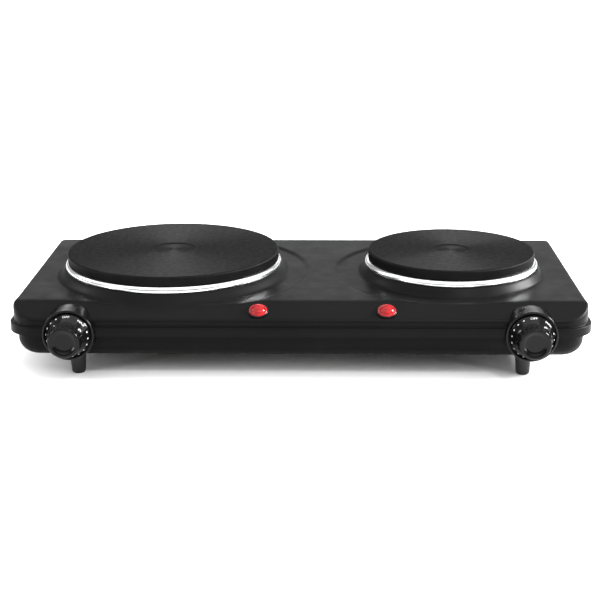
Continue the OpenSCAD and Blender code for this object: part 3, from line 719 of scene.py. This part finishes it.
def build_plate(b):
    """Iron casting: softly rounded rim, shallow dimple, and the ribbed recess on its underside."""
    r = b.r
    rim_low = -PLATE_RIM
    low = b.low - b.top
    skirt = b.opening_r - 1
    dimple = b.dimple_r - 3.2
    profile = [(0, -DIMPLE_DEEP), (b.dimple_r * 0.5, -DIMPLE_DEEP), (dimple, -DIMPLE_DEEP)]
    for i in range(1, 9):
        t = i / 9
        profile.append((dimple + DIMPLE_WALL * t, -DIMPLE_DEEP * (1 - ease(t))))
    profile += [(dimple + DIMPLE_WALL, 0), (r * 0.5, 0), (r * 0.8, 0), (r - 3, 0)]
    profile += arc(r - 1.6, -1.6, 1.6, 88, 4, 9)
    profile += [(r, -2.4), (r, rim_low + 1.6)]
    profile += arc(r - 0.9, rim_low + 0.9, 0.9, 0, -88, 5)
    profile += [(skirt + 0.4, rim_low), (skirt, rim_low - 0.4), (skirt, low + 0.6), (skirt - 0.6, low)]
    profile += [(skirt - 4.4, low), (skirt - 5, low + 0.6), (skirt - 5, WEB_Z - 0.8), (skirt - 5.8, WEB_Z)]
    profile += [(STUD_BOSS_R + 0.8, WEB_Z), (STUD_BOSS_R, WEB_Z - 0.8)]
    profile += [(STUD_BOSS_R, low + 2.5), (STUD_BOSS_R - 0.5, low + 2)]
    profile += [(STUD_R + 0.4, low + 2), (STUD_R, low + 2.4), (STUD_R, low + 8.8), (0, low + 8.8)]
    name = b.side + "_plate"
    shape = turned(profile, PLATE_SEGMENTS[b.side])
    place = at(b.x, b.y, b.top)
    iron = "cast_iron"
    piece(name + "_casting", shape, LOOKS[iron], place=place, replaces=(name,), angle=40)


def build_ring(b):
    """Pressed trim ring: a rolled band that curls in under the plate's rim and stands on the collar."""
    wall = 0.8
    foot_r = 0.5
    steps = 18
    high = b.ring_high - b.ring_low
    top_r = b.r - 0.6
    out_r = b.ring_r
    outer = []
    for i in range(steps + 1):
        a = math.radians(90 * i / steps)
        outer.append((top_r + (out_r - top_r) * math.sin(a), high - (high - 1) * (1 - math.cos(a))))
    foot = arc(out_r - foot_r, foot_r, foot_r, 0, -90, 4)
    inner_r = b.opening_r + 1
    back = [(inner_r, 0), (inner_r, wall), (out_r - wall - 0.3, wall), (out_r - wall, wall + 0.3)]
    inside = []
    for i, (r, h) in enumerate(outer):
        lean = math.radians(90 * (i + 1) / (steps + 1))
        drop = math.radians(90 * i / steps)
        inside.append((r - wall * math.sin(lean), h - wall * math.cos(drop)))
    name = b.side + "_trim_ring"
    shape = turned(outer + foot + back + inside[::-1], PLATE_SEGMENTS[b.side], closed=True)
    place = at(b.x, b.y, b.ring_low)
    bright = "trim_chrome"
    piece(b.side + "_ring_chrome", shape, LOOKS[bright], place=place, replaces=(name,), angle=40)


for burner in BURNERS:
    build_plate(burner)
    build_ring(burner)

# ---- Knobs, bezels and dial marks --------------------------------------------------------------

RIBS = 20
RIB_DEEP = 0.75
NECK_R = GRIP_R + 1.2
GRIP_LONG = 9
KNOB_BORE_R = 3.05
KNOB_BORE_DEEP = 12.9
FACE_EDGE_R = 1.4
FACE_DEEP = 1.9
# Steps of the dished face, from the grip's radius inwards and from the front backwards.
FACE_STEPS = ((2.2, 0.03), (3.0, 0.25), (3.9, 0.85), (4.9, 1.45), (5.9, 1.75), (7.5, 1.88))
LETTER_H = 3.3
MARKS_UP = 2.4
DOT_R = 0.72
DOT_SIDES = 20
DOTS = 15
DOTS_FROM = -28
DOTS_TURN = 257
MAX_DEGREES = 45
INK_OUT = 0.12
INK_IN = -0.03


class Dial:
    """Places and sizes of one knob in its bezel."""

    def __init__(self, side):
        knob_low, knob_high = box_mm(side + "_knob")
        bezel_low, bezel_high = box_mm(side + "_knob_bezel")
        self.x, _, self.z = middle(side + "_knob")
        self.back = knob_high[1]
        self.long = knob_high[1] - knob_low[1]
        self.skirt_r = half_width(side + "_knob")
        self.neck_h = self.long - GRIP_LONG
        self.bezel_r = half_width(side + "_knob_bezel")
        self.seat = bezel_high[1]
        self.bezel_deep = bezel_high[1] - bezel_low[1]
        # The two ends of the sloping skirt, which carries the print.
        self.skirt_edge = (self.skirt_r - 0.7, 2.9)
        self.skirt_neck = (NECK_R + 0.5, self.neck_h - 0.4)

    def place(self, y):
        """Place of a piece on the dial's axis, with its own Z towards the front."""
        return at(self.x, y, self.z, math.pi / 2)


def build_knob(side):
    dial = Dial(side)
    long = dial.long
    skirt = dial.skirt_r
    neck_h = dial.neck_h
    grip_foot = (NECK_R - 0.05, neck_h + 0.9)
    profile = [(0, KNOB_BORE_DEEP), (KNOB_BORE_R, KNOB_BORE_DEEP)]
    profile += [(KNOB_BORE_R, 0.3), (KNOB_BORE_R + 0.25, 0)]
    profile += [(skirt - 0.5, 0), (skirt - 0.12, 0.15), (skirt, 0.5), (skirt, 1.3), (skirt - 0.1, 1.75)]
    profile += [(skirt - 0.35, 2.2), dial.skirt_edge]
    profile += straight(dial.skirt_edge, dial.skirt_neck, 8)
    profile += [(NECK_R + 0.12, neck_h + 0.2), grip_foot]
    profile += straight(grip_foot, (GRIP_R, long - 1.5), 8)
    profile += arc(GRIP_R - FACE_EDGE_R, long - FACE_EDGE_R, FACE_EDGE_R, 0, 90, 10)[1:]
    profile += [(GRIP_R - inwards, long - down) for inwards, down in FACE_STEPS]
    profile += [(2, long - FACE_DEEP), (0, long - FACE_DEEP)]

    def rib(r, h, a):
        """Radius of the grip with its ribs, which fade out towards both ends."""
        start = neck_h - 0.2
        end = long - 1.2
        if not start < h < end:
            return r
        t = (h - start) / (end - start)
        swell = math.sin(math.pi * min(t * 2.2, 1) / 2) * (1 if t < 0.8 else (1 - t) / 0.2)
        groove = (0.5 + 0.5 * math.cos(RIBS * a)) ** 2
        return r - RIB_DEEP * groove * swell

    shape = turned(profile, 320, radius=rib)
    body = side + "_knob_body"
    place = dial.place(dial.back)
    name = side + "_knob"
    slot = "knob_plastic"
    moulding = name + "_moulding"
    piece(moulding, shape, LOOKS[slot], body=body, place=place, replaces=(name,), angle=38)


def build_bezel(side):
    """Ring round the dial, with the disc behind the knob that sits on the casing's front."""
    dial = Dial(side)
    r = dial.bezel_r
    bore = r - BEZEL_WALL
    deep = dial.bezel_deep
    disc_low = deep - 4.2
    disc_high = deep - 2.2
    hub_r = 5.8
    profile = [(r - 0.3, 0), (r, 0.3), (r, deep - 1.1)]
    profile += arc(r - 0.9, deep - 0.9, 0.9, 0, 90, 8)
    profile += arc(bore + 0.4, deep - 0.4, 0.4, 90, 180, 4)
    profile += [(bore, disc_high + 0.4), (bore - 0.4, disc_high), (hub_r + 0.3, disc_high)]
    profile += [(hub_r, disc_high - 0.3), (hub_r, disc_low), (bore - 0.5, disc_low), (bore, disc_low - 0.5)]
    profile += [(bore, 0)]
    shape = turned(profile, 288, closed=True)
    place = dial.place(dial.seat)
    name = side + "_knob_bezel"
    slot = "bezel_plastic"
    piece(side + "_bezel_moulding", shape, LOOKS[slot], place=place, replaces=(name,), angle=38)


def flat_text(word, height):
    """Triangles of a word in a plane, centred, as (points, faces)."""
    curve = bpy.data.curves.new("word", "FONT")
    curve.body = word
    curve.size = height
    curve.align_x = "CENTER"
    curve.align_y = "CENTER"
    curve.resolution_u = 3
    maker = bpy.data.objects.new("word", curve)
    scene.collection.objects.link(maker)
    graph = bpy.context.evaluated_depsgraph_get()
    mesh = bpy.data.meshes.new_from_object(maker.evaluated_get(graph))
    points = [(v.co.x, v.co.y) for v in mesh.vertices]
    faces = [list(p.vertices) for p in mesh.polygons]
    bpy.data.objects.remove(maker)
    return points, faces


def build_marks(side):
    """Printed dial on the knob's skirt: OFF, a row of dots, and MAX at the end of the turn."""
    dial = Dial(side)
    edge_r, edge_h = dial.skirt_edge
    neck_r, neck_h = dial.skirt_neck
    long = math.hypot(neck_r - edge_r, neck_h - edge_h)
    slope_r = (neck_r - edge_r) / long
    slope_h = (neck_h - edge_h) / long
    points = []
    faces = []

    def lay(u, v, degrees, lift):
        """Point of a flat drawing, laid on the skirt at an angle and lifted off it."""
        s = MARKS_UP - v
        r = edge_r + slope_r * s + slope_h * lift
        h = edge_h + slope_h * s - slope_r * lift
        a = math.radians(degrees) + u / (edge_r + slope_r * MARKS_UP)
        return (r * math.sin(a), r * math.cos(a), h)

    def stamp(shape, tris, degrees):
        """Flat shape laid on the skirt as a thin raised print with closed sides."""
        base = len(points)
        n = len(shape)
        for lift in (INK_OUT, INK_IN):
            points.extend(lay(u, v, degrees, lift) for u, v in shape)
        edges = set()
        for face in tris:
            faces.append([base + i for i in face])
            faces.append([base + n + i for i in reversed(face)])
            edges.update(zip(face, face[1:] + face[:1]))
        for i, j in sorted(edges):
            if (j, i) not in edges:
                faces.append([base + i, base + n + i, base + n + j, base + j])

    for word, degrees in (("OFF", 0), ("MAX", MAX_DEGREES)):
        stamp(*flat_text(word, LETTER_H), degrees)
    dot = arc(0, 0, DOT_R, 0, 360, DOT_SIDES)[:-1]
    for i in range(DOTS):
        stamp(dot, [list(range(DOT_SIDES))], DOTS_FROM - i * DOTS_TURN / (DOTS - 1))
    place = dial.place(dial.back)
    piece(side + "_knob_marks", (points, faces), INK, body=side + "_knob_body", place=place, angle=30)


for side in SIDES:
    build_knob(side)
    build_bezel(side)
    build_marks(side)

# ---- Indicators --------------------------------------------------------------------------------

LAMP_RIM = 1.5
LAMP_BORE = LAMP_STEM_R - 1
STEM_DOWN = -10
DOME_H = 2.6
DOME_STEPS = 14


def build_lamp(side):
    """Black rim with its stem, and the red lens with a low dome that sits in it."""
    bezel_node = side + "_lamp_bezel"
    lens_node = side + "_lens"
    r = half_width(bezel_node)
    lens_r = half_width(lens_node)
    place = lamp_place(side)

    profile = [(r, 0.02), (r, LAMP_RIM - 0.7)]
    profile += arc(r - 0.45, LAMP_RIM - 0.45, 0.45, 0, 90, 6)
    profile += arc(lens_r + 0.25, LAMP_RIM - 0.15, 0.15, 90, 180, 3)
    profile += [(lens_r + 0.1, LENS_SEAT), (LAMP_BORE, LENS_SEAT), (LAMP_BORE, STEM_DOWN)]
    profile += [(LAMP_STEM_R, STEM_DOWN), (LAMP_STEM_R, 0.02)]
    shape = turned(profile, 128, closed=True)
    slot = "bezel_plastic"
    piece(side + "_lamp_rim", shape, LOOKS[slot], place=place, replaces=(bezel_node,), angle=38)

    flange = LENS_SEAT + 1.5
    dome_r = lens_r - 1.9
    stem_r = LAMP_BORE - 0.05
    profile = [(0, 1), (stem_r - 1.5, 1), (stem_r - 1.5, -5), (stem_r, -5), (stem_r, LENS_SEAT)]
    profile += [(lens_r, LENS_SEAT)] + arc(lens_r - 0.9, flange - 0.9, 0.9, 0, 90, 8)
    profile += [(dome_r + 0.35, flange - 0.02), (dome_r + 0.1, flange - 0.22)]
    for i in range(1, DOME_STEPS):
        a = math.radians(90 * i / DOME_STEPS)
        profile.append((dome_r * math.cos(a), flange - 0.3 + (DOME_H + 0.3) * math.sin(a)))
    profile += [(0, flange + DOME_H)]
    shape = turned(profile, 128)
    slot = "red_lens"
    piece(side + "_lamp_lens", shape, LOOKS[slot], place=place, replaces=(lens_node,), angle=30)


for side in SIDES:
    build_lamp(side)

# ---- Feet --------------------------------------------------------------------------------------

FOOT_BASE_R = 5.6
FOOT_SCREW_R = 2.1
RECESS_DEEP = 6


def build_foot(node):
    """Tapered foot with a recess for its screw."""
    low, high = box_mm(node)
    x, y, _ = middle(node)
    r = half_width(node)
    tall = high[2] - low[2]
    base = FOOT_BASE_R
    profile = [(FOOT_SCREW_R, tall), (r - 0.2, tall), (r, tall - 0.2), (r, tall - 1)]
    profile += straight((r, tall - 1), (base, 1.5), 8)
    profile += [(base - 0.25, 0.95), (base - 0.6, 0.5), (base - 1.05, 0.12), (base - 1.35, 0)]
    profile += [(FOOT_RECESS + 0.15, 0), (FOOT_RECESS, 0.15), (FOOT_RECESS, RECESS_DEEP)]
    profile += [(FOOT_SCREW_R, RECESS_DEEP)]
    shape = turned(profile, 96, closed=True)
    place = at(x, y, low[2])
    slot = "foot_plastic"
    piece(node + "_moulding", shape, LOOKS[slot], place=place, replaces=(node,), angle=38)


for node in ("front_left_foot", "front_right_foot", "rear_left_foot", "rear_right_foot"):
    build_foot(node)

# ---- Floor, light and camera, in metres --------------------------------------------------------

FLOOR_HALF = 12.0
SURROUND = 0.45
CLOTH = 2.1
# Along each world axis, where the bright cloth starts and where it is at its full strength.
CLOTH_EDGES = (("Z", 0.3, 0.65), ("Y", 0.62, -0.15))
LENS_MM = 78.0
CAMERA_PLACE = (0.0217, -1.0915, 0.3753)
YAW = math.radians(-1.217)
PITCH = math.radians(17.24)
ROLL = math.radians(-0.198)


def build_floor():
    s = FLOOR_HALF
    mesh = bpy.data.meshes.new("floor")
    mesh.from_pydata([(-s, -s, 0), (s, -s, 0), (s, s, 0), (-s, s, 0)], [], [(0, 1, 2, 3)])
    look = Look("floor_paper")
    look.colour(look.noise(3, 2), (0.9, 0.9, 0.9), (0.93, 0.93, 0.93))
    look.set(Roughness=0.9, Specular_IOR_Level=0.1)
    mesh.materials.append(look.material)
    floor = bpy.data.objects.new("floor", mesh)
    scene.collection.objects.link(floor)


def area_light(name, place, target, size, power):
    light = bpy.data.lights.new(name, "AREA")
    light.shape = "RECTANGLE"
    light.size, light.size_y = size
    light.energy = power
    obj = bpy.data.objects.new(name, light)
    obj.location = place
    obj.rotation_euler = (Vector(target) - Vector(place)).to_track_quat("-Z", "Y").to_euler()
    scene.collection.objects.link(obj)


def build_world():
    """Soft studio surroundings: a wide bright cloth above the front, dim behind and low down."""
    world = bpy.data.worlds.new("studio")
    world.use_nodes = True
    tree = world.node_tree
    background = next(n for n in tree.nodes if n.type == "BACKGROUND")
    background.inputs["Color"].default_value = (1, 1, 1, 1)
    coords = tree.nodes.new("ShaderNodeTexCoord")
    split = tree.nodes.new("ShaderNodeSeparateXYZ")
    tree.links.new(coords.outputs["Generated"], split.inputs["Vector"])
    both = tree.nodes.new("ShaderNodeMath")
    both.operation = "MULTIPLY"
    for i, (axis, start, end) in enumerate(CLOTH_EDGES):
        ramp = tree.nodes.new("ShaderNodeMapRange")
        ramp.interpolation_type = "SMOOTHSTEP"
        ramp.inputs["From Min"].default_value = start
        ramp.inputs["From Max"].default_value = end
        tree.links.new(split.outputs[axis], ramp.inputs["Value"])
        tree.links.new(ramp.outputs["Result"], both.inputs[i])
    total = tree.nodes.new("ShaderNodeMath")
    total.operation = "MULTIPLY_ADD"
    total.inputs[1].default_value = CLOTH
    total.inputs[2].default_value = SURROUND
    tree.links.new(both.outputs["Value"], total.inputs[0])
    tree.links.new(total.outputs["Value"], background.inputs["Strength"])
    scene.world = world


def build_camera():
    camera = bpy.data.cameras.new("camera")
    camera.sensor_width = 36.0
    camera.lens = LENS_MM
    camera.clip_end = 60
    viewer = bpy.data.objects.new("camera", camera)
    viewer.location = CAMERA_PLACE
    turn = Matrix.Rotation(-YAW, 3, "Z")
    tip = Matrix.Rotation(math.pi / 2 - PITCH, 3, "X")
    roll = Matrix.Rotation(ROLL, 3, "Z")
    viewer.rotation_euler = (turn @ tip @ roll).to_euler()
    scene.collection.objects.link(viewer)
    scene.camera = viewer


build_floor()
build_world()
scene.view_settings.view_transform = "Standard"
area_light("rim_right", (2.1, 0.35, 1.0), (0.1, 0, 0.05), (1.2, 0.5), 230)
area_light("rim_left", (-2.1, 0.5, 0.95), (-0.1, 0, 0.05), (0.5, 0.5), 22)
area_light("key", (0.45, -0.9, 1.3), (0, -0.1, 0.04), (0.12, 0.12), 6)
area_light("back_glow", (0.1, 2.6, 0.85), (0.0, 0, 0.06), (2.6, 0.35), 5.5)
area_light("top_glow", (0.0, 0.7, 1.6), (0, -0.08, 0.05), (2.2, 0.4), 5)
area_light("side_left", (-1.3, -0.75, 0.22), (-0.19, -0.12, 0.04), (0.06, 0.4), 5)
area_light("side_right", (1.3, -0.75, 0.22), (0.19, -0.12, 0.04), (0.06, 0.4), 5)
build_camera()
